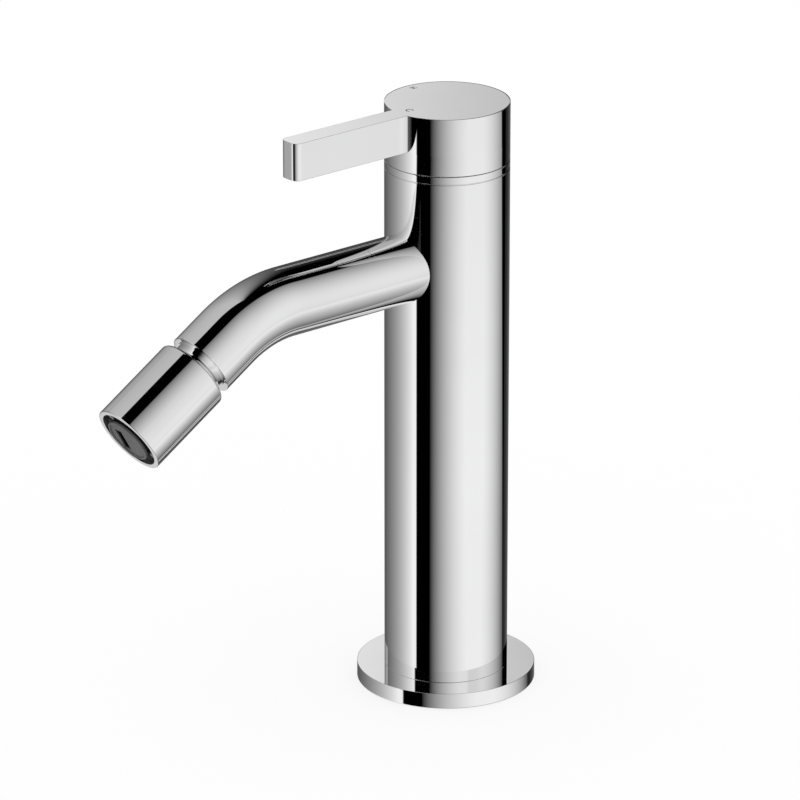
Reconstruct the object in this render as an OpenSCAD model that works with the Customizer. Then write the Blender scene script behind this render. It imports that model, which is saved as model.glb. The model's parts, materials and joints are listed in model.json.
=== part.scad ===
// Bidet mixer: slim round column on a base flange, turning cap with a flat lever,
// bent spout tube and a nozzle that swivels on a ball joint.
// Millimetres. Z is up, the base stands on z = 0, spout and lever point along -Y.

/* [Column] */
// Diameter of the column, the trim ring and the cap
body_d = 38; // [36:0.5:44]
// Wall of the column tube
body_wall = 2.5; // [2.2:0.1:3]
// Length of the column, from the flange to the trim ring
column_l = 161.3; // [140:0.1:200]

/* [Base] */
// Diameter of the base flange
base_d = 55; // [50:0.2:70]
// Thickness of the base flange
base_t = 4.9; // [3.6:0.1:8]
// Rounding of the flange's top edge
base_edge_r = 0.5; // [0.2:0.1:1.2]
// Width of the flange's rim outside the seal
seal_rim = 2.6; // [2:0.1:4]
// Width of the seal under the flange
seal_w = 3; // [2:0.1:4]
// Thickness of the seal
seal_t = 1.6; // [1:0.1:2.2]

/* [Inlets] */
// Height of the foot block inside the column
foot_h = 17; // [15:0.5:24]
// Step from the foot block to its neck in the flange
neck_step = 0.85; // [0.6:0.05:1.4]
// Radius of the threaded hole for the fixing stud
stud_r = 4; // [3:0.5:4]
// Depth of the fixing stud's hole
stud_depth = 12; // [10:0.5:14]
// Distance of the stud hole behind the column's axis
stud_y = 8.5; // [8:0.1:9.5]
// Radius of the threaded hose inlets
inlet_r = 5; // [4:0.1:5]
// Depth of the hose inlets
inlet_depth = 13; // [10:0.5:14]
// Distance of each inlet and supply tube from the middle plane
port_x = 7.5; // [7.4:0.1:7.8]
// Distance of the inlets and supply tubes in front of the axis
port_y = 3; // [2.8:0.1:3.4]
// Outer radius of the supply tubes
tube_r = 3.5; // [3.2:0.1:3.8]
// Wall of the supply tubes
tube_wall = 0.9; // [0.7:0.1:1.2]
// Depth of the sockets that hold the supply tubes
socket_depth = 5; // [4:0.5:7]

/* [Spout] */
// Outer diameter of the spout tube
spout_d = 21.2; // [20.4:0.1:22]
// Wall of the spout tube
spout_wall = 1.8; // [1.5:0.1:2.1]
// Distance from the column's top down to the spout's axis
spout_drop = 28.7; // [28:0.1:60]
// Distance from the column's axis to the start of the bend
spout_run = 63.1; // [50:0.1:90]
// Radius of the bend, on the tube's axis
bend_r = 41.5; // [30:0.5:60]
// Angle of the bend
bend_deg = 32; // [10:1:38]
// Loss of radius where the tube is bent
bend_draw = 0.01; // [0.01:0.01:0.05]
// Straight length after the bend
spout_tail = 11.7; // [10:0.1:20]
// Radius of the nipple that carries the spout
nipple_r = 7; // [6.5:0.1:7.4]
// Radius of the nipple's waterway
nipple_bore_r = 4.5; // [4:0.1:5]
// Depth of the nipple's seat, from the column's bore inwards
nipple_sink = 6.5; // [6:0.1:7]
// Distance of the nipple's seal from its seat
nipple_seal_in = 3; // [2.6:0.1:3.4]
// Length of the nipple's collar inside the spout
collar_l = 10; // [8:0.5:14]

/* [Nozzle] */
// Outer diameter of the nozzle sleeve
nozzle_d = 23.1; // [22.9:0.1:25]
// Length of the nozzle sleeve
nozzle_l = 28.6; // [27:0.1:34]
// Wall of the sleeve at the outlet
nozzle_wall = 1.6; // [1.3:0.05:1.65]
// Rounding of the sleeve's upper rim
rim_r = 1; // [0.5:0.1:1.2]
// Gap between the spout's end and the sleeve's rim
neck_gap = 3.3; // [3.2:0.1:4]
// Radius of the ball
ball_r = 9.3; // [9.2:0.05:9.4]
// Distance of the ball's centre beyond the spout's end
ball_out = 5.4; // [5.3:0.1:5.8]
// Radius of the waterway through the ball
ball_bore_r = 4.2; // [3.6:0.1:4.6]
// Radius of the ball's collar on the spout's end
ball_collar_r = 9; // [8.9:0.05:9.2]
// Thickness of the ball's collar
ball_collar_t = 0.4; // [0.3:0.1:0.6]
// Radius of the neck between the collar and the ball
ball_neck_r = 8.5; // [8.3:0.05:8.55]
// Radius of the ball's threaded shank
shank_r = 6; // [5.6:0.1:6.4]
// Length of the ball's threaded shank
shank_l = 8; // [6:0.5:9]
// Depth of the aerator's ring inside the outlet
aerator_recess = 1.3; // [0.8:0.1:2]
// Wall of the aerator housing
aerator_wall = 2.4; // [2:0.05:2.5]
// Height of the insert's face above the aerator's ring
insert_proud = 1.9; // [0.4:0.1:2.2]
// Turn of the aerator's key slots about the outlet's axis, in degrees
face_turn = 41; // [0:1:180]
// Width of the key slots in the aerator's ring
key_w = 2.8; // [2:0.1:3.2]
// Depth of the key slots
key_depth = 1; // [0.8:0.1:1.4]
// Distance of the slot in the insert's face from the outlet's axis
slot_off = 2.45; // [2.2:0.05:2.6]
// Shift of that slot along the key slots
slot_shift = 1.35; // [1.1:0.05:1.5]
// Length of the slot in the insert's face
slot_l = 8.2; // [6:0.1:8.4]
// Width of the slot in the insert's face
slot_w = 3; // [2:0.1:3.1]
// Depth of the slot in the insert's face
slot_depth = 2; // [0.8:0.1:2.2]

/* [Trim ring] */
// Height of the trim ring
ring_h = 2.5; // [1.8:0.05:3]
// Height of the hairline above and below the trim ring
hairline = 0.2; // [0.15:0.05:0.4]
// Depth of the hairline under the trim ring
hairline_depth = 0.5; // [0.3:0.1:0.8]
// Length of the ring's spigot inside the column
spigot_l = 2.6; // [2:0.1:3]
// Wall of the ring's spigot
spigot_t = 0.65; // [0.5:0.05:0.8]
// Width of the glide ring
glide_w = 1.25; // [0.8:0.05:1.4]
// Depth of the glide ring's groove
glide_depth = 0.4; // [0.3:0.05:0.6]

/* [Cap and lever] */
// Height of the cap
cap_h = 17.9; // [16:0.1:24]
// Wall of the cap's skirt
cap_wall = 2.8; // [2.6:0.1:3.2]
// Thickness of the cap's top
cap_top_t = 3; // [2:0.1:4]
// Rounding of the cap's top edge
cap_edge_r = 0.4; // [0.2:0.1:0.8]
// Reach of the lever's tip from the column's axis
lever_reach = 61.6; // [50:0.1:80]
// Thickness of the lever
lever_t = 7.3; // [5:0.1:9]
// Height of the lever
lever_h = 11.6; // [8:0.1:14]
// Rounding of the lever's upright edges at its tip
lever_edge_r = 2.2; // [0.5:0.1:2.4]
// Turn of the lever from closed to full hot, in degrees
lever_turn = 90; // [70:1:90]
// Height of the boss's lower face above the cap's rim
boss_rise = 2.6; // [2.4:0.1:3]
// Radius of the boss inside the cap
boss_r = 8.5; // [8:0.1:9.5]
// Height of the grub screw above the boss's lower face
grub_rise = 4.5; // [4:0.1:5]
// Radius of the grub screw in the boss
grub_r = 2.5; // [2:0.1:2.6]
// Radius of the plug that covers the grub screw's hole
plug_r = 2.9; // [2.8:0.1:3.4]

/* [Cartridge] */
// Diameter of the cartridge
cart_d = 25; // [25:0.1:25.4]
// Depth of the cartridge's seat below the column's top
cart_drop = 19.1; // [19:0.1:20]
// Height of the cup round the cartridge
cup_h = 14.5; // [14.3:0.1:14.8]
// Thickness of the cartridge's base plate
cart_base_t = 3; // [2.8:0.1:3.1]
// Wall of the cartridge's housing
cart_wall = 1.05; // [0.9:0.05:1.2]
// Thickness of each ceramic disc
disc_t = 2.5; // [2.3:0.1:2.6]
// Radius of the hot and cold ports in the discs
port_r = 2; // [1.8:0.05:2.1]
// Radius of the mixed-water outlet in the discs
outlet_r = 2.6; // [2.3:0.05:2.7]
// Depth of the pockets in the moving disc
pocket_depth = 1.2; // [0.8:0.1:1.5]
// Thickness of the disc carrier
carrier_t = 2.5; // [2.3:0.1:2.6]
// Thickness of the housing's top
cart_top_t = 2; // [1.9:0.1:2.1]
// Height of the cartridge nut above the cup
nut_h = 3; // [2.6:0.1:3.2]
// Radius of the spindle's round part
spindle_r = 5; // [4.9:0.05:5.1]
// Width of the spindle's square
spindle_sq = 6.8; // [6.4:0.1:6.9]
// Height of the spindle's square above the boss's lower face
spindle_grip = 8.5; // [7:0.1:10]

/* [Fits] */
// Clearance between pieces that are seated in one another
fit = 0.05; // [0.04:0.01:0.08]
// Clearance between faces that slide on each other
slide = 0.05; // [0.04:0.01:0.08]
// Clearance of the ball in the sleeve's lip
lip_gap = 0.15; // [0.12:0.01:0.2]
// Clearance between pieces that pass each other
pass = 0.3; // [0.25:0.05:0.35]

/* [Hidden] */
$fn = 96;
far = 200;

// Column and levels
body_r = body_d / 2;
bore_r = body_r - body_wall;
column_top = base_t + column_l;
ring_top = column_top + ring_h;
cap_z = ring_top + hairline;
cap_top = cap_z + cap_h;
spout_z = column_top - spout_drop;

// Foot block, supply tubes and valve block
insert_r = bore_r - fit;
neck_r = insert_r - neck_step;
foot_top = base_t + foot_h;
tube_bore_r = tube_r - tube_wall;
tube_ring_r = 0.65;
tube_ring_c = tube_r + fit + tube_ring_r;
tube_groove_r = tube_ring_c + tube_ring_r + fit;
groove_w = 2 * tube_ring_r + 2 * fit;
block_below = 24;
block_z = spout_z - block_below;
seat_z = column_top - cart_drop;
cup_top = seat_z + cup_h;
port_at = [[-port_x, -port_y], [port_x, -port_y]];
tube_z0 = foot_top - socket_depth;
tube_z1 = block_z + socket_depth;
mix_r = outlet_r + 1;
channel_r = 4;

// Nipple
nipple_ring_r = 0.6;
nipple_ring_c = nipple_r + fit + nipple_ring_r;
nipple_groove_r = nipple_ring_c + nipple_ring_r + fit;
nipple_groove_w = 2 * nipple_ring_r + 2 * fit;
nipple_seat = bore_r - nipple_sink;
nipple_ring_y = nipple_seat + nipple_seal_in;
spout_r = spout_d / 2;
spout_bore_r = spout_r - spout_wall;
collar_r = spout_bore_r - fit;
collar_y = body_r + 1;

// Spout's end and ball joint, with the local axis running downstream
nozzle_r = nozzle_d / 2;
nozzle_bore_r = nozzle_r - nozzle_wall;
rim_u = neck_gap - ball_out;
lip_t = 1.2;
lip_u = rim_u + lip_t;
outlet_u = rim_u + nozzle_l;
ring_in_r = ball_r + slide;
ring_out_r = nozzle_bore_r - 2 * slide;
ring_u0 = 1;
ring_u1 = 3.9;
ball_cut_u = 7;
seal_u0 = 5.75;
seal_u1 = 8.6;
seal_in_r = 6;
aerator_r = nozzle_bore_r - fit;
aerator_in_r = aerator_r - aerator_wall;
aerator_end = outlet_u - aerator_recess;
aerator_lid_t = 0.8;
washer_t = 0.8;
screen_t = 0.8;
washer_u = seal_u1 + aerator_lid_t;
screen_u = washer_u + washer_t;
insert_u = screen_u + screen_t;
insert_end = aerator_end + insert_proud;

// Cartridge, from its seat upwards
cart_r = cart_d / 2;
cup_r = cart_r + fit;
cart_in_r = cart_r - cart_wall;
disc_r = cart_in_r - 2 * fit;
turn_r = cart_in_r - pass;
disc_z = seat_z + cart_base_t;
moving_z = disc_z + disc_t + slide;
carrier_z = moving_z + disc_t;
carrier_top = carrier_z + carrier_t;
lid_z = carrier_top + pass;
lid_top = lid_z + cart_top_t;
stem_r = 7.5;
stem_top = lid_top + 2.4;
spindle_hole_r = spindle_r + 2 * fit;
oring_r = 0.55;
oring_c = spindle_hole_r + oring_r;
oring_z = (lid_z + stem_top) / 2;
oring_w = 2 * oring_r + 2 * fit;
shoulder_z = stem_top + pass;
limit_t = 1.6;
limit_r = 9.5;
lug_r = stem_r + 0.5;
lug_deg = 20;
stop_r = 10.9;
stop_top = lid_top + 1.75;
stop_free = 1.5;
seal_minor = 0.55;
seal_step = 0.3;
nut_in_r = stop_r + pass;
nut_corner_r = insert_r - spigot_t - 0.2;
nut_top = cup_top + nut_h;

// Ports as seen from above, and the pockets that pass over them
port_rad = norm([port_x, port_y]);
port_half = asin(port_r / port_rad);
cold_deg = -atan(port_y / port_x);
hot_deg = 180 + atan(port_y / port_x);
pocket_r = port_rad + port_r + 0.2;
cold_lead = 4;
hot_lead = 14;

// Cap
cap_in_r = body_r - cap_wall;
boss_z = cap_z + boss_rise;
cap_roof = cap_top - cap_top_t;
spindle_top = boss_z + spindle_grip;
grub_z = boss_z + grub_rise;
grub_y0 = spindle_sq / 2 + fit;
glide_r = (cap_in_r + body_r) / 2;

// Solid round bar between two heights
module rod(r, z0, z1) {
    translate([0, 0, z0]) cylinder(r = r, h = z1 - z0);
}

// Round tube between two heights
module tube(r_out, r_in, z0, z1) {
    translate([0, 0, z0]) linear_extrude(z1 - z0) annulus(r_out, r_in);
}

module annulus(r_out, r_in) {
    difference() {
        circle(r_out);
        circle(r_in);
    }
}

// Ring of round section about the Z axis
module o_ring(r_mid, r_minor, z) {
    translate([0, 0, z]) rotate_extrude() translate([r_mid, 0]) circle(r_minor);
}

// Rectangle from one corner to the other
module box2d(x0, y0, x1, y1) {
    translate([x0, y0]) square([x1 - x0, y1 - y0]);
}

// Rectangle whose upper right corner is rounded
module edged2d(x0, y0, x1, y1, r) {
    box2d(x0, y0, x1 - r, y1);
    box2d(x0, y0, x1, y1 - r);
    translate([x1 - r, y1 - r]) circle(r);
}

// Bar or hole that runs forwards from the column's axis at the spout's height
module along_spout() {
    translate([0, 0, spout_z]) rotate([90, 0, 0]) children();
}

// Local frame at the bend's centre, turning about Z from the level run downwards
module at_bend() {
    translate([0, -spout_run, spout_z - bend_r]) rotate([180, -90, 0]) children();
}

// Local frame on the tube's axis where the bend ends, Z downstream
module after_bend() {
    at_bend() rotate([0, 0, bend_deg]) translate([bend_r, 0, 0]) rotate([-90, 0, 0]) children();
}

// Local frame at the ball's centre, Z downstream
module at_ball() {
    after_bend() translate([0, 0, spout_tail + ball_out]) children();
}

// Sector of a circle, from one angle over a sweep of less than half a turn
module wedge2d(r, start, sweep) {
    intersection() {
        circle(r);
        polygon([[0, 0], for (i = [0:2]) 2 * r * [cos(start + sweep * i / 2), sin(start + sweep * i / 2)]]);
    }
}

// Sector of a round wall, from one angle over a sweep
module sector(r_in, r_out, z0, z1, start, sweep) {
    translate([0, 0, z0]) rotate([0, 0, start])
        rotate_extrude(angle = sweep) box2d(r_in, 0, r_out, z1 - z0);
}

module base_flange() {
    color("gainsboro")
    rotate_extrude() difference() {
        edged2d(neck_r + fit, 0, base_d / 2, base_t, base_edge_r);
        box2d(base_d / 2 - seal_rim - seal_w, -1, base_d / 2 - seal_rim, seal_t);
    }
}

module base_seal() {
    seal_out = base_d / 2 - seal_rim;
    color("dimgray") tube(seal_out - fit, seal_out - seal_w + fit, 0, seal_t);
}

module body_column() {
    color("gainsboro") difference() {
        tube(body_r, bore_r, base_t, column_top);
        along_spout() rod(nipple_r + fit, 0, far);
    }
}

// Sockets for the two supply tubes, each with a ring groove, opening at z_open
module tube_sockets(z_floor, z_open) {
    z_mid = (z_floor + z_open) / 2;
    for (at = port_at) translate(at) {
        rod(tube_r + fit, min(z_floor, z_open), max(z_floor, z_open));
        rod(tube_groove_r, z_mid - groove_w / 2, z_mid + groove_w / 2);
    }
}

module inlet_block() {
    color("peru") difference() {
        union() {
            rod(neck_r, 0, base_t);
            rod(insert_r, base_t, foot_top);
        }
        translate([0, stud_y, 0]) rod(stud_r, -1, stud_depth);
        for (at = port_at) translate(at) {
            rod(inlet_r, -1, inlet_depth);
            rod(tube_bore_r, inlet_depth - 1, tube_z0 + 1);
        }
        tube_sockets(tube_z0, foot_top + 1);
    }
}

module supply_tube(at) {
    translate(at) tube(tube_r, tube_bore_r, tube_z0, tube_z1);
}

module hot_supply_tube() {
    color("chocolate") supply_tube(port_at[0]);
}

module cold_supply_tube() {
    color("chocolate") supply_tube(port_at[1]);
}

module supply_tube_seals() {
    color("dimgray") for (at = port_at) translate(at) {
        o_ring(tube_ring_c, tube_ring_r, (tube_z0 + foot_top + 1) / 2);
        o_ring(tube_ring_c, tube_ring_r, (tube_z1 + block_z - 1) / 2);
    }
}

module valve_block() {
    color("peru") difference() {
        rod(insert_r, block_z, cup_top);
        rod(cup_r, seat_z, cup_top + 1);
        rod(mix_r, spout_z, seat_z + 1);
        along_spout() rod(channel_r, 0, far);
        along_spout() rod(nipple_r + fit, nipple_seat, far);
        along_spout() rod(nipple_groove_r, nipple_ring_y - nipple_groove_w / 2,
                          nipple_ring_y + nipple_groove_w / 2);
        for (at = port_at) translate(at) rod(port_r, tube_z1 - 1, seat_z + 1);
        tube_sockets(tube_z1, block_z - 1);
    }
}

module spout_nipple() {
    color("peru") along_spout() {
        tube(nipple_r, nipple_bore_r, nipple_seat, collar_y);
        tube(collar_r, nipple_bore_r, collar_y, collar_y + collar_l);
    }
}

module spout_seal() {
    color("dimgray") along_spout() o_ring(nipple_ring_c, nipple_ring_r, nipple_ring_y);
}

// Bar of the spout's course: level run, bend and tail
module spout_bar(r, more) {
    along_spout() rod(r, 0, spout_run);
    at_bend() rotate_extrude(angle = bend_deg) translate([bend_r, 0]) circle(r - bend_draw);
    after_bend() rod(r, 0, spout_tail + more);
}

module spout_tube() {
    color("gainsboro") difference() {
        spout_bar(spout_r, 0);
        spout_bar(spout_bore_r, 1);
        rod(body_r + fit, 0, far);
    }
}

module spout_end_bush() {
    color("peru") at_ball() tube(spout_bore_r - fit, shank_r + fit, -ball_out - shank_l, -ball_out);
}

module ball_stud() {
    color("gainsboro") at_ball() rotate_extrude() difference() {
        union() {
            box2d(0, -ball_out - shank_l, shank_r, -ball_out);
            box2d(0, -ball_out, ball_collar_r, -ball_out + ball_collar_t);
            box2d(0, -ball_out, ball_neck_r, 0);
            intersection() {
                circle(ball_r);
                box2d(0, -ball_out, ball_r, ball_cut_u);
            }
        }
        box2d(-1, -far, ball_bore_r, far);
    }
}

module ball_slip_ring() {
    color("whitesmoke") at_ball() rotate_extrude() intersection() {
        annulus(ring_out_r, ring_in_r);
        box2d(0, ring_u0, ring_out_r, ring_u1);
    }
}

module ball_seal() {
    color("dimgray") at_ball() rotate_extrude() difference() {
        box2d(seal_in_r, seal_u0, nozzle_bore_r - fit, seal_u1);
        circle(ring_in_r);
    }
}

module nozzle_sleeve() {
    color("gainsboro") at_ball() rotate_extrude() difference() {
        box_sleeve2d();
        circle(ball_r + lip_gap);
        box2d(-1, lip_u, nozzle_bore_r, far);
    }
}

// Outer outline of the sleeve, with its rounded rim towards the spout
module box_sleeve2d() {
    mirror([0, 1]) edged2d(0, -outlet_u, nozzle_r, -rim_u, rim_r);
}

// Bar across the aerator's end, along its two key slots
module key_bar(width, u0, u1) {
    rotate([0, 0, face_turn]) translate([-far / 2, -width / 2, u0]) cube([far, width, u1 - u0]);
}

module aerator_housing() {
    color("darkslategray") at_ball() difference() {
        union() {
            tube(aerator_r, seal_in_r, seal_u1, washer_u);
            tube(aerator_r, aerator_in_r, washer_u, aerator_end);
        }
        key_bar(key_w, aerator_end - key_depth, aerator_end + 1);
    }
}

module aerator_washer() {
    color("dimgray") at_ball() tube(aerator_in_r - fit, seal_in_r, washer_u, screen_u);
}

module strainer_screen() {
    hole_r = 0.9;
    ring_step = 2.6;
    color("silver") at_ball() difference() {
        rod(aerator_in_r - fit, screen_u, insert_u);
        rod(hole_r, screen_u - 1, insert_u + 1);
        for (ring = [1:2]) for (i = [0:6 * ring - 1])
            rotate([0, 0, i * 60 / ring]) translate([ring * ring_step, 0, 0])
                rod(hole_r, screen_u - 1, insert_u + 1);
    }
}

// Insert with a hollow chamber, two lugs in the key slots and a lipped face with a slot
module aerator_insert() {
    slot_turn = 44;
    face_lip = 0.7;
    face_depth = 0.3;
    lug_in = 0.25;
    chamber_r = aerator_in_r - 1.6;
    floor_t = slot_depth + face_depth + 1.2;
    color("gray") at_ball() difference() {
        union() {
            rod(aerator_in_r - fit, insert_u, insert_end);
            intersection() {
                rod(aerator_r - lug_in, aerator_end - key_depth + fit, aerator_end - lug_in);
                key_bar(key_w - 2 * fit, aerator_end - key_depth, aerator_end);
            }
        }
        rod(chamber_r, insert_u - 1, insert_end - floor_t);
        rod(aerator_in_r - fit - face_lip, insert_end - face_depth, insert_end + 1);
        rotate([0, 0, face_turn]) translate([slot_shift, slot_off]) rotate([0, 0, slot_turn])
            translate([-slot_w / 2, -slot_l / 2, insert_end - face_depth - slot_depth])
                cube([slot_w, slot_l, far]);
    }
}

// Grooves or rings round the three ports, each given by its place and hole radius
module each_port() {
    for (at = port_at) translate(at) children(0);
    children(1);
}

module cartridge_base() {
    color("ivory") difference() {
        rod(cart_r, seat_z, disc_z);
        each_port() {
            rod(port_r, seat_z - 1, disc_z + 1);
            rod(outlet_r, seat_z - 1, disc_z + 1);
        }
        each_port() {
            seal_groove(port_r);
            seal_groove(outlet_r);
        }
    }
}

module seal_groove(hole_r) {
    depth = 2 * seal_minor + 2 * fit;
    tube(hole_r + seal_step + depth, hole_r + seal_step, seat_z - 1, seat_z + depth);
}

module port_seals() {
    mid = seal_step + seal_minor + fit;
    color("dimgray") each_port() {
        o_ring(port_r + mid, seal_minor, seat_z + seal_minor + fit);
        o_ring(outlet_r + mid, seal_minor, seat_z + seal_minor + fit);
    }
}

module fixed_disc() {
    color("white") difference() {
        rod(disc_r, disc_z, disc_z + disc_t);
        each_port() {
            rod(port_r, disc_z - 1, moving_z);
            rod(outlet_r, disc_z - 1, moving_z);
        }
    }
}

// At rest both ports are shut; a turn opens cold, then both, and ends on hot
module moving_disc() {
    cold_start = cold_deg + port_half + cold_lead;
    hot_start = hot_deg + port_half + hot_lead;
    color("white") difference() {
        rod(turn_r, moving_z, carrier_z);
        translate([0, 0, moving_z - 1]) linear_extrude(pocket_depth + 1) {
            circle(outlet_r);
            wedge2d(pocket_r, cold_start, lever_turn - cold_lead - 2 * port_half);
            wedge2d(pocket_r, hot_start, lever_turn - hot_lead);
        }
    }
}

// Square bar about the Z axis
module square_bar(width, z0, z1) {
    translate([-width / 2, -width / 2, z0]) cube([width, width, z1 - z0]);
}

module disc_carrier() {
    color("ivory") difference() {
        rod(turn_r, carrier_z, carrier_top);
        square_bar(spindle_sq + 2 * fit, carrier_z - 1, carrier_top + 1);
    }
}

module spindle() {
    color("goldenrod") {
        square_bar(spindle_sq, carrier_z, spindle_top);
        rod(spindle_r, carrier_top, shoulder_z);
    }
}

module cartridge_housing() {
    stop_start = -90 + lug_deg / 2 + stop_free;
    stop_sweep = 360 - lever_turn - lug_deg - 2 * stop_free;
    color("ivory") {
        difference() {
            union() {
                rod(cart_r, disc_z, lid_top);
                rod(stem_r, lid_top, stem_top);
            }
            rod(cart_in_r, disc_z - 1, lid_z);
            rod(spindle_hole_r, lid_z - 1, stem_top + 1);
            rod(oring_c + oring_r + fit, oring_z - oring_w / 2, oring_z + oring_w / 2);
        }
        sector(lug_r, stop_r, lid_top, stop_top, stop_start, stop_sweep);
    }
}

module spindle_seal() {
    color("dimgray") o_ring(oring_c, oring_r, oring_z);
}

module limit_ring() {
    color("firebrick") {
        difference() {
            rod(limit_r, shoulder_z, shoulder_z + limit_t);
            square_bar(spindle_sq + 2 * fit, shoulder_z - 1, shoulder_z + limit_t + 1);
        }
        sector(lug_r, limit_r - fit, lid_top + pass, shoulder_z, -90 - lug_deg / 2, lug_deg);
    }
}

module cartridge_nut() {
    color("goldenrod") difference() {
        union() {
            rod(cart_r, lid_top, cup_top);
            translate([0, 0, cup_top]) cylinder(r = nut_corner_r, h = nut_top - cup_top, $fn = 6);
        }
        rod(nut_in_r, lid_top - 1, nut_top + 1);
    }
}

module trim_ring() {
    spigot_r = insert_r - spigot_t;
    color("gainsboro") rotate_extrude() difference() {
        union() {
            box2d(spigot_r, column_top - spigot_l, insert_r, ring_top);
            box2d(spigot_r, column_top, body_r - hairline_depth, ring_top);
            box2d(spigot_r, column_top + hairline, body_r, ring_top);
        }
        box2d(glide_r - glide_w / 2 - fit, ring_top - glide_depth, glide_r + glide_w / 2 + fit, cap_z);
    }
}

module glide_ring() {
    color("whitesmoke") tube(glide_r + glide_w / 2, glide_r - glide_w / 2,
                             ring_top - glide_depth, cap_z - slide);
}

module lever_plate() {
    tip_y = -lever_reach;
    translate([0, 0, cap_top - lever_h]) linear_extrude(lever_h) {
        box2d(-lever_t / 2, tip_y + lever_edge_r, lever_t / 2, 0);
        box2d(-lever_t / 2 + lever_edge_r, tip_y, lever_t / 2 - lever_edge_r, 0);
        for (side = [-1, 1])
            translate([side * (lever_t / 2 - lever_edge_r), tip_y + lever_edge_r]) circle(lever_edge_r);
    }
}

module lever_handle() {
    color("gainsboro") difference() {
        union() {
            rotate_extrude() edged2d(0, cap_z, body_r, cap_top, cap_edge_r);
            lever_plate();
        }
        rotate_extrude() {
            box2d(0, cap_z - 1, cap_in_r, boss_z);
            box2d(boss_r, cap_z - 1, cap_in_r, cap_roof);
        }
        square_bar(spindle_sq + 2 * fit, boss_z - 1, spindle_top + pass);
        translate([0, 0, grub_z]) rotate([-90, 0, 0]) {
            rod(grub_r + fit, 0, cap_in_r);
            rod(plug_r + fit, cap_in_r - 1, far);
        }
    }
}

module handle_screw() {
    socket_af = 2.5;
    socket_depth = 2;
    end_y = boss_r - 0.3;
    color("silver") translate([0, 0, grub_z]) rotate([-90, 0, 0]) difference() {
        rod(grub_r, grub_y0, end_y);
        translate([0, 0, end_y - socket_depth])
            cylinder(d = socket_af / cos(30), h = far, $fn = 6);
    }
}

module screw_cover() {
    color("gainsboro") intersection() {
        translate([0, 0, grub_z]) rotate([-90, 0, 0]) rod(plug_r, cap_in_r, far);
        rod(body_r, cap_z, cap_top);
    }
}

base_flange();
base_seal();
body_column();
inlet_block();
hot_supply_tube();
cold_supply_tube();
supply_tube_seals();
valve_block();
spout_nipple();
spout_seal();
spout_tube();
spout_end_bush();
ball_stud();
ball_slip_ring();
ball_seal();
nozzle_sleeve();
aerator_housing();
aerator_washer();
strainer_screen();
aerator_insert();
cartridge_base();
port_seals();
fixed_disc();
moving_disc();
disc_carrier();
spindle();
cartridge_housing();
spindle_seal();
limit_ring();
cartridge_nut();
trim_ring();
glide_ring();
lever_handle();
handle_screw();
screw_cover();
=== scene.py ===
import json
import math

import bmesh
import bpy
import numpy as np
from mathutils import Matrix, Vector


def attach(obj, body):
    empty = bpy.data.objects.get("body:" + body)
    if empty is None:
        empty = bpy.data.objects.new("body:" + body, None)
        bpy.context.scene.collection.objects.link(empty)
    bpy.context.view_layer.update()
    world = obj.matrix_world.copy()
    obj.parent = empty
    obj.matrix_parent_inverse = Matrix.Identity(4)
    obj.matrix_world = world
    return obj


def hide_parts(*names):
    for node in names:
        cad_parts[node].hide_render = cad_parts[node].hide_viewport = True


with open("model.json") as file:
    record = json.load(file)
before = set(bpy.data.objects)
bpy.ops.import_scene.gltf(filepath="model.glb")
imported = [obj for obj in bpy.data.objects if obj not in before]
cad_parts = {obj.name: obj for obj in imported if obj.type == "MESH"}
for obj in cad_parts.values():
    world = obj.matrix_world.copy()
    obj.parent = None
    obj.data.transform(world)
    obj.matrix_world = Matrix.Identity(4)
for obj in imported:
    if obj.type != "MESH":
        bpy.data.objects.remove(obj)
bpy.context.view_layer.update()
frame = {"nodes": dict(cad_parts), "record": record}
mm = 0.001  # shapes are worked out in millimetres
joints = {joint["name"]: joint for joint in frame["record"]["behaviour"]["joints"]}
print("frame loaded:", len(frame["nodes"]), "nodes")


class Sock:
    # wraps a socket; sums and products of socks, or of socks and numbers, add Math nodes
    def __init__(self, tree, out=None):
        self.tree, self.out = tree, out

    def node(self, kind, settings=None, inputs=None, out=0):
        made = self.tree.nodes.new(kind)
        for key, value in (settings or {}).items():
            setattr(made, key, value)
        for key, value in (inputs or {}).items():
            if isinstance(value, Sock):
                self.tree.links.new(value.out, made.inputs[key])
            else:
                made.inputs[key].default_value = value
        return Sock(self.tree, made.outputs[out] if len(made.outputs) else None)

    def math(self, operation, *others):
        return self.node("ShaderNodeMath", {"operation": operation}, dict(enumerate((self, *others))))

    def __add__(self, other):
        return self.math("ADD", other)

    def __sub__(self, other):
        return self.math("SUBTRACT", other)

    def __rsub__(self, other):
        return self.node("ShaderNodeMath", {"operation": "SUBTRACT"}, {0: other, 1: self})

    def __mul__(self, other):
        return self.math("MULTIPLY", other)

    def __truediv__(self, other):
        return self.math("DIVIDE", other)

    def __neg__(self):
        return self.math("MULTIPLY", -1)

    __radd__, __rmul__ = __add__, __mul__  # a sum or product may start with the number

    def size(self):
        return self.math("ABSOLUTE")

    def orMore(self, other):
        return self.math("MAXIMUM", other)

    def orLess(self, other):
        return self.math("MINIMUM", other)

    # 0 below low, 1 above high, an S curve between
    def rise(self, low, high):
        return self.node("ShaderNodeMapRange", {"interpolation_type": "SMOOTHSTEP"},
                         {"Value": self, "From Min": low, "From Max": high})

    def blend(self, first, second):
        return self.node("ShaderNodeMix", {"data_type": "RGBA"}, {0: self, 6: first, 7: second}, out=2)

    def noise(self, scale, detail):
        return self.node("ShaderNodeTexNoise", None, {"Vector": self, "Scale": scale, "Detail": detail})

    def split(self):
        parts = self.node("ShaderNodeSeparateXYZ", None, {0: self}).out.node
        return [Sock(self.tree, part) for part in parts.outputs]


def newMaterial(name):
    made = bpy.data.materials.new(name)
    made.use_nodes = True
    made.node_tree.nodes.clear()
    start = Sock(made.node_tree)
    place = start.node("ShaderNodeTexCoord", out="Object")
    return made, start, place


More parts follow.
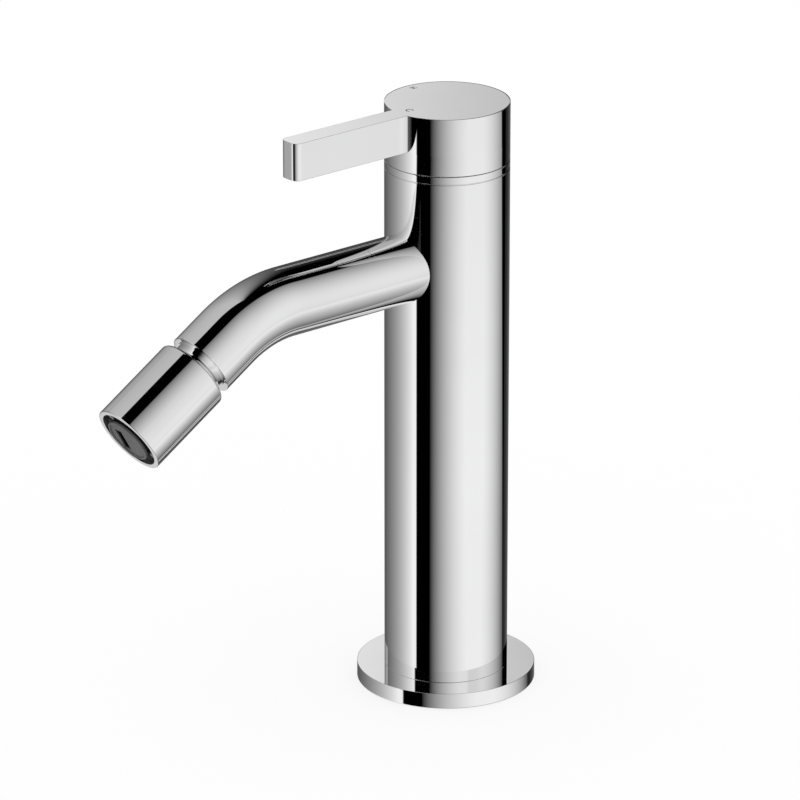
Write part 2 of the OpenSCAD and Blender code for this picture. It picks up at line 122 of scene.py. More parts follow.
def closeMaterial(start, settings):
    shader = start.node("ShaderNodeBsdfPrincipled", None, settings)
    start.node("ShaderNodeOutputMaterial", None, {"Surface": shader})


def bumpFrom(start, height, depth):
    return start.node("ShaderNodeBump", None, {"Strength": 1.0, "Distance": depth, "Height": height})


# Quads of a grid: each point joins the next row and the next column,
# and a closed direction joins its last point to its first
def gridFaces(rows, cols, closeRows, closeCols):
    i, j = np.meshgrid(np.arange(rows if closeRows else rows - 1),
                       np.arange(cols if closeCols else cols - 1), indexing="ij")
    nextRow, nextCol = (i + 1) % rows, (j + 1) % cols
    corners = [i * cols + j, nextRow * cols + j, nextRow * cols + nextCol, i * cols + nextCol]
    return np.stack(corners, -1).reshape(-1, 4)


meshing = {"mergeWithin": 2e-7, "sharpDeg": 32}  # metres and degrees


# One mesh from grids of points that share their borders; poles and borders are merged
def makePiece(name, patches, material, body, node):
    points, faces, count = [], [], 0
    for grid, closeRows, closeCols in patches:
        rows, cols = grid.shape[:2]
        points.append(grid.reshape(-1, 3) * mm)
        faces.append(gridFaces(rows, cols, closeRows, closeCols) + count)
        count += rows * cols
    mesh = bpy.data.meshes.new(name)
    mesh.from_pydata(np.concatenate(points).tolist(), [], np.concatenate(faces).tolist())
    work = bmesh.new()
    work.from_mesh(mesh)
    bmesh.ops.remove_doubles(work, verts=work.verts, dist=meshing["mergeWithin"])
    bmesh.ops.recalc_face_normals(work, faces=work.faces)
    work.to_mesh(mesh)
    work.free()
    mesh.shade_smooth()
    mesh.set_sharp_from_angle(angle=math.radians(meshing["sharpDeg"]))
    mesh.materials.append(material)
    piece = bpy.data.objects.new(name, mesh)
    bpy.context.scene.collection.objects.link(piece)
    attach(piece, body)
    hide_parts(node)
    print("made", name, len(mesh.polygons), "faces")


# Points at even angles on a circle round (x, y)
def arc(x, y, radius, fromDeg, toDeg, count):
    a = np.radians(np.linspace(fromDeg, toDeg, count))
    return np.stack([x + radius * np.cos(a), y + radius * np.sin(a)], -1)


# Closed outline through corners (x, y, radius): each corner gives way to the arc that
# touches both its sides, and each side gets a point close to its ends to stay flat
def rounded(corners, steps=7, hold=0.05):
    out = []
    for i, (x, y, radius) in enumerate(corners):
        here = np.array([x, y], float)
        before = np.array(corners[i - 1][:2]) - here
        after = np.array(corners[(i + 1) % len(corners)][:2]) - here
        before, after = before / np.linalg.norm(before), after / np.linalg.norm(after)
        half = math.acos(np.clip(before @ after, -1, 1)) / 2
        back = radius / math.tan(half)
        out.append(here + before * (back + hold))
        if radius > 0:
            mid = (before + after) / np.linalg.norm(before + after)
            centre = here + mid * radius / math.sin(half)
            swing = np.linspace(-1, 1, steps)[:, None] * (math.pi / 2 - half)
            across = np.array([-mid[1], mid[0]])
            across = across * np.sign(across @ after)
            out.extend(centre + radius * (np.sin(swing) * across - np.cos(swing) * mid))
        else:
            out.append(here)
        out.append(here + after * (back + hold))
    return np.array(out)


# Surface of revolution: each profile point (r, u) goes round the axis at distance r, height u
def turned(profile, origin=(0, 0, 0), axis=(0, 0, 1), count=288):
    origin, axis, side = (np.array(v, float) for v in (origin, axis, (1, 0, 0)))
    third = np.cross(axis, side)
    a = np.linspace(0, 2 * np.pi, count, endpoint=False)[None, :, None]
    r, u = profile[:, None, 0:1], profile[:, None, 1:2]
    return origin + r * (np.cos(a) * side + np.sin(a) * third) + u * axis


def makeTurned(name, profile, body, node, origin=(0, 0, 0), axis=(0, 0, 1)):
    makePiece(name, [(turned(profile, origin, axis), True, True)], chrome, body, node)


chromeLook = {
    "clear": (0.945, 0.945, 0.95, 1), "hazy": (0.915, 0.915, 0.92, 1),
    "hazeScale": 22, "hazeDetail": 3, "hazeRange": (0.35, 0.7), "polishScale": 700, "polishDetail": 2,
    "rippleScale": 45, "rippleDetail": 1, "rippleDepth": 4e-6,
    "rough": 0.01, "hazeRough": 0.009, "polishRough": 0.007,
}
markLook = {
    "colour": (0.44, 0.44, 0.445, 1), "rough": 0.35, "fade": (186.74, 186.77), "half": 1.03, "stroke": 0.23,
    "soft": 0.06, "cold": (0, -14.8), "openDeg": 42, "hot": (-16.1, 0.2), "postShare": 0.8, "hotShare": 0.6,
}


# Marks as distances from strokes: cold is a ring less a wedge, hot is two posts and a bar
def marksMask(place):
    look = markLook
    x, y, z = place.split()

    def fromSpot(spot):
        return x / mm - spot[0], y / mm - spot[1]

    def within(distance, limit):
        return 1 - distance.rise(limit - look["soft"], limit)

    coldX, coldY = fromSpot(look["cold"])
    reach = (coldX * coldX + coldY * coldY).math("SQRT")
    gap = coldX - reach * math.cos(math.radians(look["openDeg"]))
    cold = within((reach - look["half"]).size(), look["stroke"]) * within(gap, look["soft"] / 2)
    hotX, hotY = (part.size() for part in fromSpot(look["hot"]))
    postAt = look["half"] * look["postShare"] - look["stroke"]
    posts = within((hotX - postAt).size(), look["stroke"]) * within(hotY, look["half"])
    bar = within(hotY, look["stroke"]) * within(hotX, postAt)
    onTop = (z / mm).rise(*look["fade"])  # only on the cap's flat top
    return cold.orMore(posts.orMore(bar) * look["hotShare"]) * onTop


# Polished plate: a faint haze moves the colour and the gloss, and long low ripples bend the mirror
def chromeMaterial(name, marked):
    look = chromeLook
    made, start, place = newMaterial(name)
    haze = place.noise(look["hazeScale"], look["hazeDetail"]).rise(*look["hazeRange"])
    polish = place.noise(look["polishScale"], look["polishDetail"])
    ripple = place.noise(look["rippleScale"], look["rippleDetail"])
    colour = haze.blend(look["clear"], look["hazy"])
    rough = look["rough"] + look["hazeRough"] * haze + look["polishRough"] * polish
    if marked:
        mask = marksMask(place)
        colour = mask.blend(colour, markLook["colour"])
        rough = rough + markLook["rough"] * mask
    bump = bumpFrom(start, ripple, look["rippleDepth"])
    closeMaterial(start, {"Base Color": colour, "Metallic": 1.0, "Roughness": rough, "Normal": bump})
    return made


chrome = chromeMaterial("polishedChrome", False)
markedChrome = chromeMaterial("markedChrome", True)
print("chrome made")

flange = {
    "outer": 27.5, "bore": 15.65, "thick": 4.9, "topEdge": 0.1, "footEdge": 0.2, "boreEdge": 0.1,
    "sealIn": 21.6, "sealOut": 24.6, "sealDepth": 1.6,
}
size = flange
makeTurned("flangePlate", rounded([
    (size["bore"], 0, size["boreEdge"]), (size["sealIn"], 0, 0),
    (size["sealIn"], size["sealDepth"], 0), (size["sealOut"], size["sealDepth"], 0),
    (size["sealOut"], 0, 0), (size["outer"], 0, size["footEdge"]),
    (size["outer"], size["thick"], size["topEdge"]), (size["bore"], size["thick"], size["boreEdge"]),
]), "mixer_body", "base_flange")

column = {"outer": 19.0, "bore": 16.5, "foot": 4.9, "top": 166.2, "edge": 0.16}
size = column
makeTurned("columnTube", rounded([
    (size["bore"], size["foot"], 0), (size["outer"], size["foot"], size["edge"]),
    (size["outer"], size["top"], size["edge"]), (size["bore"], size["top"], 0),
]), "mixer_body", "body_column")

trim = {
    "bore": 15.8, "spigot": 16.45, "spigotFoot": 163.6, "foot": 166.2, "lineTop": 166.4, "top": 168.75,
    "lineRadius": 18.5, "outer": 19.0, "edge": 0.16,
    "grooveIn": 16.925, "grooveOut": 18.275, "grooveFloor": 168.3,
}
size = trim
makeTurned("trimBand", rounded([
    (size["bore"], size["spigotFoot"], 0), (size["spigot"], size["spigotFoot"], 0),
    (size["spigot"], size["foot"], 0), (size["lineRadius"], size["foot"], 0),
    (size["lineRadius"], size["lineTop"], 0), (size["outer"], size["lineTop"], size["edge"]),
    (size["outer"], size["top"], size["edge"]), (size["grooveOut"], size["top"], 0),
    (size["grooveOut"], size["grooveFloor"], 0), (size["grooveIn"], size["grooveFloor"], 0),
    (size["grooveIn"], size["top"], 0), (size["bore"], size["top"], 0),
]), "mixer_body", "trim_ring")

spout = {
    "outer": 10.6, "bore": 8.8, "height": 137.5, "run": 63.1, "bendRadius": 41.5, "bendDeg": 32, "tail": 11.7,
    "columnRadius": 19.0, "sink": 0.04, "endEdge": 0.25, "rimDegs": (15, 90), "rimRows": 6,
    "around": 224, "runRows": 24, "bendRows": 49, "tailRows": 6, "tailShares": (0.1, 0.97),
}


# Circle of the given radius carried along the axis: level run from the column's skin, arc, straight tail
def spoutSkin(radius, endShort):
    size = spout
    a = np.linspace(0, 2 * np.pi, size["around"], endpoint=False)[None, :]
    across, lift = radius * np.cos(a), radius * np.sin(a)
    start = -np.sqrt(size["columnRadius"] ** 2 - across ** 2) + size["sink"]
    runY = start + (-size["run"] - start) * np.linspace(0, 1, size["runRows"])[:-1, None]
    runZ = np.broadcast_to(size["height"] + lift, runY.shape)
    b = np.radians(np.linspace(0, size["bendDeg"], size["bendRows"]))[:, None]
    bendY = -size["run"] - (size["bendRadius"] + lift) * np.sin(b)
    bendZ = size["height"] - size["bendRadius"] + (size["bendRadius"] + lift) * np.cos(b)
    share = np.concatenate([np.linspace(*size["tailShares"], size["tailRows"]), [1.0]])[:, None]
    far = share * (size["tail"] - endShort)
    y = np.concatenate([runY, bendY, bendY[-1:] - far * np.cos(b[-1])])
    z = np.concatenate([runZ, bendZ, bendZ[-1:] - far * np.sin(b[-1])])
    return np.stack([np.broadcast_to(across, y.shape), y, z], -1)


# The end's rim turns from the outer skin to the end face in steps of one quarter circle
def spoutRim(swing):
    edge = spout["endEdge"]
    return spoutSkin(spout["outer"] - edge * (1 - math.cos(swing)), edge * (1 - math.sin(swing)))[-1:]


rims = [spoutRim(swing) for swing in np.radians(np.linspace(*spout["rimDegs"], spout["rimRows"]))]
outerSkin, innerSkin = spoutSkin(spout["outer"], spout["endEdge"]), spoutSkin(spout["bore"], 0)[::-1]
makePiece("spoutPipe", [(np.concatenate([outerSkin, *rims, innerSkin]), True, True)],
          chrome, "mixer_body", "spout_tube")

ballCentre = np.array(joints["nozzle_swivel"]["pos_m"]) / mm
flow = np.array(joints["nozzle_swivel"]["axis"])


# Angle on a ball of the circle at height u
def ballDeg(u, radius):
    return math.degrees(math.asin(u / radius))


ball = {
    "radius": 9.3, "bore": 4.2, "cut": 7.0, "shank": 6.0, "shankEnd": -13.4, "foot": -5.4,
    "collar": 9.0, "collarTop": -5.0, "neck": 8.5, "arcPoints": 40,
}
size = ball
neckTop = -math.sqrt(size["radius"] ** 2 - size["neck"] ** 2)  # where the neck meets the ball
fromDeg, toDeg = (ballDeg(u, size["radius"]) for u in (neckTop, size["cut"]))
shank = [
    (size["bore"], size["shankEnd"]), (size["shank"], size["shankEnd"]), (size["shank"], size["foot"]),
    (size["collar"], size["foot"]), (size["collar"], size["collarTop"]), (size["neck"], size["collarTop"]),
]
ballArc = arc(0, 0, size["radius"], fromDeg, toDeg, size["arcPoints"])
makeTurned("ballChrome", np.concatenate([shank, ballArc, [(size["bore"], size["cut"])]]),
           "mixer_body", "ball_stud", ballCentre, flow)

nozzle = {
    "outer": 11.55, "bore": 9.95, "rim": -2.1, "lipEnd": -0.9, "outlet": 26.5, "lipBall": 9.45,
    "rimEdge": 1.0, "outletEdge": 0.3, "mouthEdge": 0.15, "lipPoints": 7, "edgePoints": 9,
}
size = nozzle
fromDeg, toDeg = (ballDeg(u, size["lipBall"]) for u in (size["lipEnd"], size["rim"]))
lip = arc(0, 0, size["lipBall"], fromDeg, toDeg, size["lipPoints"])
shell = rounded([
    (lip[-1][0], size["rim"], 0), (size["outer"], size["rim"], size["rimEdge"]),
    (size["outer"], size["outlet"], size["outletEdge"]), (size["bore"], size["outlet"], size["mouthEdge"]),
    (size["bore"], size["lipEnd"], 0), (lip[0][0], size["lipEnd"], 0),
], steps=size["edgePoints"])
sleeve = np.concatenate([shell[2:-1], lip[:-1]])  # the lip's sharp corner gives way to a small chamfer
makeTurned("nozzleShell", sleeve, "nozzle", "nozzle_sleeve", ballCentre, flow)

handle = {
    "radius": 19.0, "foot": 168.9, "top": 186.8, "topEdge": 0.06, "footEdge": 0.16, "hold": 0.06,
    "half": 3.65, "reach": 61.6, "under": 175.2, "underEdge": 0.2, "tipEdge": 2.2,
    "cavity": 16.2, "roof": 183.8, "boss": 8.5, "bossFoot": 171.5, "socketHalf": 3.45, "socketTop": 180.3,
    "sideShares": (0.01, 0.03, 26), "endShares": (0.03, 0.1, 7), "topShares": (0, 0.5, 0.98),
    "spineShare": 0.3, "ringPoints": 281, "tipPoints": 13, "edgePoints": 7, "footPoints": 6,
}
cap = handle


# Shares from 0 to 1, closer together at the ends: one near each end and the rest evenly between
def endedShares(near, inner, count):
    return np.concatenate([[0, near], np.linspace(inner, 1 - inner, count), [1 - near, 1]])


sideSteps, endSteps = endedShares(*cap["sideShares"]), endedShares(*cap["endShares"])


# Plan of cap and lever, the lever drawn in by one inset and the cap by another: the circle from one
# side of the lever round to the other, then the left side, the tip's left arc, its end, and the right
# side mirrored
def handlePlan(leverIn, capIn):
    radius, half = cap["radius"] - capIn, cap["half"] - leverIn
    reach, tip = cap["reach"] - leverIn, cap["tipEdge"] - leverIn
    joint = math.sqrt(radius ** 2 - half ** 2)
    fromDeg = math.degrees(math.atan2(-joint, half))
    ring = arc(0, 0, radius, fromDeg, 180 - fromDeg, cap["ringPoints"])
    y = -joint + (-reach + tip + joint) * sideSteps
    side = np.stack([np.full_like(y, -half), y], -1)
    corner = arc(-half + tip, -reach + tip, tip, 180, 270, cap["tipPoints"])
    chain = np.concatenate([side[1:], corner[1:]])
    end = np.stack([(half - tip) * (2 * endSteps - 1), np.full_like(endSteps, -reach)], -1)
    return ring, chain, np.concatenate([ring, chain, end[1:-1], chain[::-1] * (-1, 1)])


def atHeight(plan, z):
    return np.concatenate([plan, np.full((len(plan), 1), z)], -1)


# Top of cap and lever: lines from a spine along the middle out to the plan drawn in by the edge
ring, chain, topPlan = handlePlan(cap["topEdge"], cap["topEdge"])
order = np.arange(len(ring))
fromJoint = np.minimum(order, order[::-1]) / (len(ring) * cap["spineShare"])
spineY = np.clip(topPlan[:, 1], -cap["reach"] + cap["half"], ring[0, 1])
spineY[:len(ring)] = ring[0, 1] * (1 - np.clip(fromJoint, 0, 1))
spine = np.stack([np.zeros_like(spineY), spineY], -1)
rows = [atHeight(spine + share * (topPlan - spine), cap["top"]) for share in cap["topShares"]]

# Sides: round the top edge, down, and round the lever's lower edge
quarter = np.radians(np.linspace(90, 0, cap["edgePoints"]))
for a in quarter:
    inset, drop = cap["topEdge"] * (1 - math.cos(a)), cap["topEdge"] * (1 - math.sin(a))
    rows.append(atHeight(handlePlan(inset, inset)[2], cap["top"] - drop))
sidePlan = handlePlan(0, 0)[2]
rows.append(atHeight(sidePlan, cap["top"] - cap["topEdge"] - cap["hold"]))
rows.append(atHeight(sidePlan, cap["under"] + cap["underEdge"] + cap["hold"]))
for a in quarter[::-1]:
    inset, lift = cap["underEdge"] * (1 - math.cos(a)), cap["underEdge"] * (1 - math.sin(a))
    ring, chain, plan = handlePlan(inset, 0)
    rows.append(atHeight(plan, cap["under"] + lift))

# Underside of the lever: lines across it, the first bowed to the cap's circle and the bow fading to the tip
left = np.concatenate([ring[-1:], chain])
across = left[:, None, 0] * (1 - 2 * endSteps[None, :])
bow = np.sqrt(cap["radius"] ** 2 - across[0] ** 2) + left[0, 1]
fade = (left[-1, 1] - left[:, 1]) / (left[-1, 1] - left[0, 1])
under = np.stack([across, left[:, 1:2] - bow * fade[:, None], np.full_like(across, cap["under"])], -1)

# Cap below the lever: the circle at the lever's underside, drawn down, under the rim, up into the cavity
# and down the boss; the boss's socket is the circle with each direction stretched to a square's side
circle = np.concatenate([ring, under[0, 1:-1, :2]]) / cap["radius"]
rimIn, rimUp = cap["radius"] - cap["footEdge"], cap["foot"] + cap["footEdge"]
capProfile = np.concatenate([
    [(cap["radius"], cap["under"]), (cap["radius"], rimUp + cap["hold"])],
    arc(rimIn, rimUp, cap["footEdge"], 0, -90, cap["footPoints"]),
    [(rimIn - cap["hold"], cap["foot"]), (cap["cavity"], cap["foot"]), (cap["cavity"], cap["roof"]),
     (cap["boss"], cap["roof"]), (cap["boss"], cap["bossFoot"])],
])
square = circle * cap["socketHalf"] / np.abs(circle).max(axis=1, keepdims=True)
socket = [(square, cap["bossFoot"]), (square, cap["socketTop"]), (square * 0, cap["socketTop"])]
lower = np.stack([atHeight(circle * radius, z) for radius, z in capProfile]
                 + [atHeight(plan, z) for plan, z in socket])
makePiece("leverCap", [(np.stack(rows), False, True), (under, False, False), (lower, False, True)],
          markedChrome, "lever", "lever_handle")

plug = {
    "radius": 2.9, "height": 176.0, "capRadius": 19.0, "proud": 0.05, "edge": 0.14, "inner": 16.4,
    "hold": 0.05, "around": 72, "flatRows": 8, "edgeRows": 7,
}


# Disc laid on the cap's cylinder: y is the cylinder's skin over each point, plus a profile over
# the disc's radius
def plugSkin():
    size = plug
    flatRadius = size["radius"] - size["edge"]
    edge = arc(flatRadius, size["proud"] - size["edge"], size["edge"], 90, 0, size["edgeRows"])
    flat = np.linspace(0, flatRadius - size["hold"], size["flatRows"])
    reach = np.concatenate([flat, edge[:, 0]])[:, None]
    lift = np.concatenate([np.full_like(flat, size["proud"]), edge[:, 1]])[:, None]
    a = np.linspace(0, 2 * np.pi, size["around"], endpoint=False)[None, :]
    x, z = reach * np.cos(a), reach * np.sin(a)
    y = np.sqrt(size["capRadius"] ** 2 - x ** 2) + lift
    back = np.full_like(y[-1:], size["inner"])
    x, z = (np.concatenate([part, part[-1:], 0 * part[-1:]]) for part in (x, z))
    return np.stack([x, np.concatenate([y, back, back]), z + size["height"]], -1)


makePiece("screwPlug", [(plugSkin(), False, True)], chrome, "lever", "screw_cover")

# Finishes of the nodes that stay as they are: two colours, metal or not, gloss and its spread, the scales
# of clouds and grain per metre, the grain's depth in metres, and the strength of a plain surface's mirror
finishes = {
    "chrome": {
        "dark": (0.915, 0.915, 0.92, 1), "light": (0.945, 0.945, 0.95, 1), "metal": 1.0,
        "rough": 0.03, "spread": 0.03, "clouds": 40, "grains": 900, "depth": 1e-6, "mirror": 0.5,
    },
    "brass": {
        "dark": (0.64, 0.46, 0.21, 1), "light": (0.79, 0.61, 0.33, 1), "metal": 1.0,
        "rough": 0.26, "spread": 0.12, "clouds": 90, "grains": 2400, "depth": 4e-6, "mirror": 0.5,
    },
    "copper": {
        "dark": (0.62, 0.31, 0.19, 1), "light": (0.76, 0.44, 0.30, 1), "metal": 1.0,
        "rough": 0.24, "spread": 0.14, "clouds": 70, "grains": 1800, "depth": 4e-6, "mirror": 0.5,
    },
    "rubber": {
        "dark": (0.018, 0.018, 0.019, 1), "light": (0.036, 0.036, 0.038, 1), "metal": 0.0,
        "rough": 0.62, "spread": 0.14, "clouds": 160, "grains": 4200, "depth": 1.2e-5, "mirror": 0.35,
    },
    "white_plastic": {
        "dark": (0.77, 0.76, 0.72, 1), "light": (0.86, 0.85, 0.82, 1), "metal": 0.0,
        "rough": 0.38, "spread": 0.1, "clouds": 120, "grains": 3000, "depth": 6e-6, "mirror": 0.5,
    },
    "red_plastic": {
        "dark": (0.46, 0.06, 0.05, 1), "light": (0.62, 0.12, 0.10, 1), "metal": 0.0,
        "rough": 0.38, "spread": 0.1, "clouds": 120, "grains": 3000, "depth": 6e-6, "mirror": 0.5,
    },
    "dark_plastic": {
        "dark": (0.006, 0.006, 0.007, 1), "light": (0.014, 0.014, 0.015, 1), "metal": 0.0,
        "rough": 0.3, "spread": 0.12, "clouds": 220, "grains": 3600, "depth": 8e-6, "mirror": 0.06,
    },
    "grey_plastic": {
        "dark": (0.098, 0.098, 0.101, 1), "light": (0.128, 0.128, 0.132, 1), "metal": 0.0,
        "rough": 0.42, "spread": 0.12, "clouds": 200, "grains": 3600, "depth": 8e-6, "mirror": 0.3,
    },
    "steel": {
        "dark": (0.50, 0.50, 0.52, 1), "light": (0.64, 0.64, 0.66, 1), "metal": 1.0,
        "rough": 0.26, "spread": 0.12, "clouds": 140, "grains": 2600, "depth": 5e-6, "mirror": 0.5,
    },
    "ceramic": {
        "dark": (0.84, 0.84, 0.81, 1), "light": (0.91, 0.91, 0.89, 1), "metal": 0.0,
        "rough": 0.12, "spread": 0.06, "clouds": 100, "grains": 2000, "depth": 1e-6, "mirror": 0.5,
    },
}
texture = {"cloudDetail": 3, "cloudRange": (0.3, 0.7), "grainDetail": 2, "cloudShare": 0.6, "grainShare": 0.4}
insertPaintedLight = {
    # the slot colour is painted shade: near black in the slot and everywhere below the face level
    "slot": (0.004, 0.004, 0.005, 1), "face": (26.2, 26.7),
    # the lug colour is a painted glint: light grey on the lugs outside the face's radius
    "lugGlint": (0.3, 0.3, 0.305, 1), "glintFrom": (7.46, 7.56),
}


# Colour of the aerator's insert by the distance along the outlet's axis and the distance from it:
# painted shade in the slot and below the face, and a painted glint on the lugs outside the face's radius
def insertPaintedShadeAndGlint(place, colour):
    look = insertPaintedLight
    offset = [part / mm - float(start) for part, start in zip(place.split(), ballCentre)]
    along = sum(part * float(share) for part, share in zip(offset, flow))
    fromAxis = (sum(part * part for part in offset) - along * along).orMore(0).math("SQRT")
    # painted shade: near black below the face, on the slot's walls and floor
    colour = along.rise(*look["face"]).blend(look["slot"], colour)
    # painted glint: light grey on the lugs
    return fromAxis.rise(*look["glintFrom"]).blend(colour, look["lugGlint"])


# Cloudy colour and gloss at one scale, and a fine grain that lifts the skin at another
def finishMaterial(slot):
    look = finishes[slot]
    made, start, place = newMaterial(slot + "Finish")
    cloud = place.noise(look["clouds"], texture["cloudDetail"]).rise(*texture["cloudRange"])
    grain = place.noise(look["grains"], texture["grainDetail"])
    colour = cloud.blend(look["dark"], look["light"])
    # the aerator's insert gets painted shade in its slot and a painted glint on its lugs
    if slot == "grey_plastic":
        colour = insertPaintedShadeAndGlint(place, colour)
    uneven = cloud * texture["cloudShare"] + grain * texture["grainShare"]
    closeMaterial(start, {
        "Base Color": colour, "Metallic": look["metal"], "Specular IOR Level": look["mirror"],
        "Roughness": look["rough"] + look["spread"] * uneven, "Normal": bumpFrom(start, grain, look["depth"]),
    })
    return made


madeFinishes = {slot: finishMaterial(slot) for slot in finishes}
for part in frame["record"]["subparts"]:
    nodeObject = frame["nodes"][part["node"]]
    if not nodeObject.material_slots:
        nodeObject.data.materials.append(None)
    for materialSlot in nodeObject.material_slots:
        materialSlot.material = madeFinishes[part["material_slot"]]

view = {
    "azimuth": 49.993, "elevation": 20.779, "distance": 1.823954, "sensor": 36, "clip": (0.1, 30),
    "focalPixels": 5971.63, "imagePixels": 800, "aimHeight": 0.090795, "aimRight": -0.01419,
}
turn, tilt = math.radians(view["azimuth"]), math.radians(view["elevation"])
rightWay = Vector((math.cos(turn), math.sin(turn), 0))
backWay = Vector((math.sin(turn) * math.cos(tilt), -math.cos(turn) * math.cos(tilt), math.sin(tilt)))
lens = bpy.data.cameras.new("viewCamera")
lens.sensor_width = view["sensor"]
lens.lens = view["focalPixels"] / view["imagePixels"] * view["sensor"]
lens.clip_start, lens.clip_end = view["clip"]
viewCamera = bpy.data.objects.new("viewCamera", lens)
aim = Vector((0, 0, view["aimHeight"])) + rightWay * view["aimRight"]
viewCamera.location = aim + backWay * view["distance"]
viewCamera.rotation_mode = "QUATERNION"
viewCamera.rotation_quaternion = (-backWay).to_track_quat("-Z", "Y")
bpy.context.scene.collection.objects.link(viewCamera)
bpy.context.scene.camera = viewCamera

floorLook = {"half": 8.0, "below": 0.0002, "glow": 0.75, "colour": (1, 1, 1, 1)}
floorMesh = bpy.data.meshes.new("studioFloor")
edge = floorLook["half"]
floorCorners = [(-edge, -edge, 0), (edge, -edge, 0), (edge, edge, 0), (-edge, edge, 0)]
floorMesh.from_pydata(floorCorners, [], [(0, 1, 2, 3)])
studioFloor = bpy.data.objects.new("studioFloor", floorMesh)
studioFloor.location.z = -floorLook["below"]
studioFloor.visible_glossy = False  # the metal mirrors the studio's walls in its place
bpy.context.scene.collection.objects.link(studioFloor)
floorPaint, paint, _ = newMaterial("studioFloor")
seen = paint.node("ShaderNodeLightPath", out="Is Camera Ray")
matte = paint.node("ShaderNodeBsdfDiffuse", None, {"Color": floorLook["colour"]})
glow = paint.node("ShaderNodeEmission", None, {"Color": floorLook["colour"], "Strength": 1.0})
both = paint.node("ShaderNodeMixShader", None, {0: seen * floorLook["glow"], 1: matte, 2: glow})
paint.node("ShaderNodeOutputMaterial", None, {"Surface": both})
floorMesh.materials.append(floorPaint)

# The studio's walls as the metal mirrors them, in degrees round from the camera (right is plus) and above
# the horizon, with a pair of values for each soft edge
studio = {
    "seam": 135,  # angles to the left run on from here past the back
    # key light: its middle and how it falls off, its brightest level, and its left, right and upper ends
    "keyTurn": 53, "keyGain": 1.26, "keyFloor": 0.11, "keyLevel": 0.905, "soft": 1.2,
    "keyMost": 1.0, "lessMost": 0.09, "lessEdge": (-21.5, -16), "topEdge": (0.29, 0.335), "topFrom": (28, 45),
    "keyLeft": -59.4, "leftLean": 9.4, "keyRight": 126, "rightLean": 3.1, "rightRange": (-24, -17.5),
    "rightMore": 18, "rightEdge": (-16, -8),
    # the key is dimmer high up, low down and towards the left, but not in a plain field above the horizon
    "dim": 0.14, "dimEdge": (-21.5, -16.5), "dimLow": 0.19, "dimLowEdge": (-40, -19),
    "dimLeft": 0.08, "dimLeftEdge": (-20, 2), "dimTurn": (55, 76), "dimFloor": 0.03,
    "plainTurn": (34, 46), "plainFrom": (-12, 0), "plainTo": (26, 32),
    # left of the key: a side light that fades towards the back, a ceiling with a bare stretch, and a floor
    "sideLevel": 1.047, "sideFall": 42, "sideMost": 0.93, "sideEdge": (-8, 8), "sideTurn": (-160, -138),
    "ceilingLevel": 0.45, "ceilingMore": 0.07, "ceilingEdge": (-18, 8), "ceilingTurn": (-190, -136),
    "moreEdge": (20, 70), "bareTurn": (-146, -138), "bareTo": (24, 32),
    "floorLevel": 0.63, "floorEdge": (-42, -34), "floorTurn": (-180, -170),
    # back: a faint glow below the horizon, and two strips (from, to, brightness) for the flat tops
    "backLevel": 0.158, "backHalf": 50, "backEdge": (-14, -2),
    "stripHalf": (3, 5), "stripSoft": 0.15, "stripSlope": 10.5,
    "strips": ((17.5, 18.6, 0.685), (22.75, 23.85, 0.735)),
}
world = bpy.data.worlds.new("studioWorld")
bpy.context.scene.world = world
world.use_nodes = True
world.node_tree.nodes.clear()
sky = Sock(world.node_tree)
x, y, z = sky.node("ShaderNodeTexCoord").split()
degrees = 180 / math.pi
around = (x.math("ARCTAN2", -y) * degrees - view["azimuth"]).math("WRAP", 180, -180)
aroundLeft = around.math("WRAP", studio["seam"], studio["seam"] - 360)
above = z.math("ARCSINE") * degrees
fromBack = 180 - around.size()

# Ends of the key light: the left one leans with height, and the right one moves out higher up
soft = (-studio["soft"], studio["soft"])
level = (1 - z * z).math("SQRT")
fromLeft = (aroundLeft - studio["keyLeft"]) * level + z * z.size() * studio["leftLean"]
rightOfEdge = fromLeft.rise(*soft)
lowest, highest = studio["rightRange"]
sameLevel = above.orMore(lowest).orLess(highest) + view["elevation"]
edgeMoves = above.rise(*studio["rightEdge"]) * studio["rightMore"] - sameLevel * studio["rightLean"]
pastRight = (around - edgeMoves - studio["keyRight"]).rise(*soft)

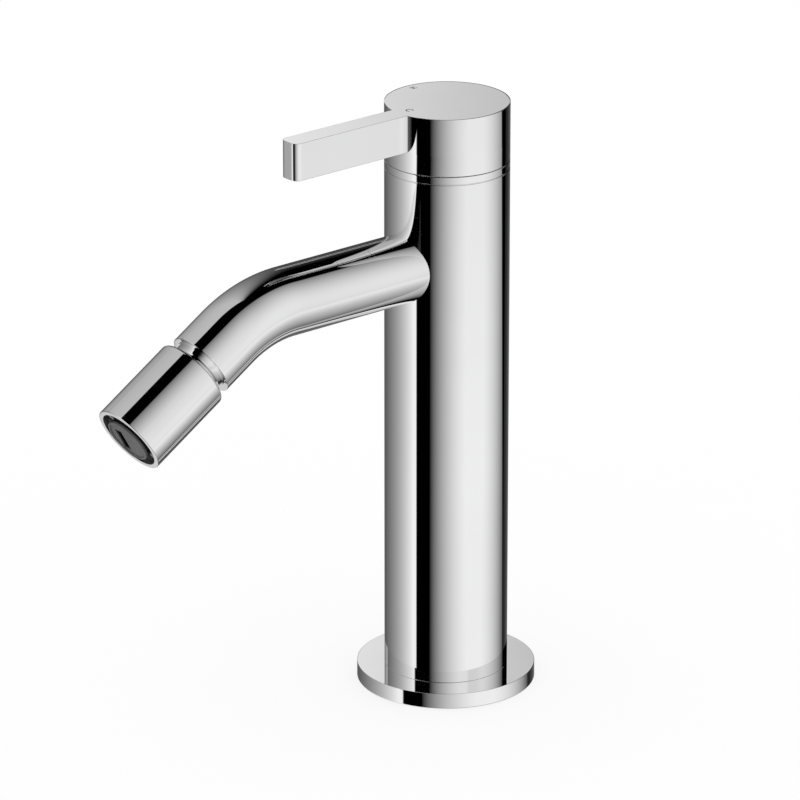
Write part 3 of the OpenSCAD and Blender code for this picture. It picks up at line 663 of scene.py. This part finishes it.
# Key light: brightest where it faces, less by what dims it
keyTurn = turn + math.radians(studio["keyTurn"])
facing = x * math.sin(keyTurn) - y * math.cos(keyTurn)
underTop = 1 - above.rise(*studio["topFrom"]) * (1 - facing.rise(*studio["topEdge"]))
plainHeight = above.rise(*studio["plainFrom"]) * (1 - above.rise(*studio["plainTo"]))
notPlain = 1 - (1 - around.rise(*studio["plainTurn"])) * plainHeight
dimHigh = above.rise(*studio["dimEdge"]) * notPlain
dimLeft = above.rise(*studio["dimLeftEdge"]) * (1 - around.rise(*studio["dimTurn"])) * notPlain
dimLow = 1 - above.rise(*studio["dimLowEdge"])
dimmed = studio["dim"] * dimHigh + studio["dimLeft"] * dimLeft + studio["dimLow"] * dimLow
keyShape = (facing * studio["keyGain"] - studio["keyFloor"]) * (1 - dimmed) - studio["dimFloor"] * dimLeft
keyMost = studio["keyMost"] - studio["lessMost"] * above.rise(*studio["lessEdge"])
key = keyShape.orMore(0).orLess(keyMost) * rightOfEdge * (1 - pastRight) * underTop * studio["keyLevel"]

# Left of the key: side light, ceiling and floor
side = ((aroundLeft - studio["keyLeft"]) / studio["sideFall"]).math("EXPONENT") * studio["sideLevel"]
sideGone = above.rise(*studio["sideEdge"]) * (1 - aroundLeft.rise(*studio["sideTurn"]))
side = side.orLess(studio["sideMost"]) * (1 - sideGone)
bare = aroundLeft.rise(*studio["bareTurn"]) * (1 - above.rise(*studio["bareTo"]))
ceiling = above.rise(*studio["ceilingEdge"]) * aroundLeft.rise(*studio["ceilingTurn"]) * (1 - bare)
ceiling = ceiling * (studio["ceilingLevel"] + above.rise(*studio["moreEdge"]) * studio["ceilingMore"])
ground = (1 - above.rise(*studio["floorEdge"])) * aroundLeft.rise(*studio["floorTurn"])
leftWalls = side.orMore(ceiling).orMore(ground * studio["floorLevel"]) * (1 - rightOfEdge)

# Back: the glow, and the strips, which are brighter towards the camera's left
back = (1 - fromBack.rise(0, studio["backHalf"])) * (1 - above.rise(*studio["backEdge"]))
walls = key.orMore(leftWalls).orMore(back * studio["backLevel"])
across = x * math.cos(turn) + y * math.sin(turn)
behind = 1 - fromBack.rise(*studio["stripHalf"])
blur = studio["stripSoft"]
for low, high, shine in studio["strips"]:
    between = above.rise(low - blur, low + blur) * (1 - above.rise(high - blur, high + blur))
    walls = walls.orMore(behind * between * (shine - across * (shine * studio["stripSlope"])))
isMirror = sky.node("ShaderNodeLightPath", out="Is Glossy Ray")
brightness = 1 - isMirror * (1 - walls)  # plain white for the camera and for soft light
sheet = sky.node("ShaderNodeBackground", None, {"Color": (1, 1, 1, 1), "Strength": brightness})
sky.node("ShaderNodeOutputWorld", None, {"Surface": sheet})

bpy.context.scene.view_settings.view_transform = "Standard"
print("studio set")
